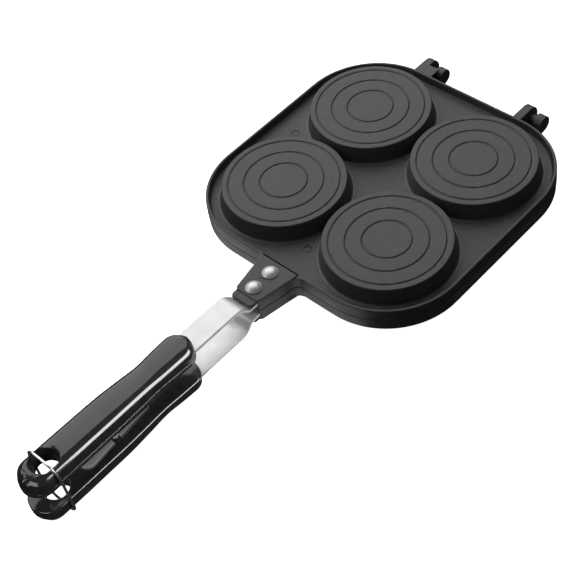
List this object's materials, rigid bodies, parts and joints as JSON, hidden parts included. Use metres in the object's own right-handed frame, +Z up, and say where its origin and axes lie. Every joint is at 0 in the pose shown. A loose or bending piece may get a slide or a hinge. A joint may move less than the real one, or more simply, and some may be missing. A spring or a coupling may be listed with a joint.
{
  "type": "hinged double egg pan",
  "caption": "Hinged double frying pan with round cups in both cast halves, riveted steel straps, moulded grips and a wire ring that locks the grips.",
  "frame": {"origin": "on the surface below the closed pan, under the middle of its length and width", "axes": "+Z up and square to the parting plane of the two halves, grips towards -Y, hinge towards +Y"},
  "size_m": [0.1824, 0.3982, 0.044],
  "materials": {
    "cast_coating": "cast aluminium under a matte dark grey non-stick coating with a fine speckle",
    "strap_steel": "satin stainless steel strip",
    "rivet_steel": "bright stainless steel, lightly turned",
    "grip_plastic": "glossy black moulded phenolic plastic",
    "screw_steel": "plain steel",
    "ring_steel": "bright drawn steel wire"
  },
  "bodies": {
    "lower_half": {"bottom_plate": "cast_coating", "bottom_strap": "strap_steel", "bottom_rivet_front": "rivet_steel", "bottom_rivet_rear": "rivet_steel", "bottom_grip": "grip_plastic", "bottom_grip_screw": "screw_steel"},
    "upper_half": {"top_plate": "cast_coating", "top_strap": "strap_steel", "top_rivet_front": "rivet_steel", "top_rivet_rear": "rivet_steel", "top_grip": "grip_plastic", "top_grip_screw": "screw_steel"},
    "lock_ring": {"lock_ring": "ring_steel"}
  },
  "joints": [
    {"name": "hinge", "type": "hinge", "parent": "lower_half", "child": "upper_half", "pos_m": [0, 0.19149, 0.022], "axis": [-1, 0, 0], "range_deg": [0, 180]},
    {"name": "lock_ring_slide", "type": "slide", "parent": "lower_half", "child": "lock_ring", "axis": [0, -1, 0], "range_m": [0, 0.019]}
  ]
}
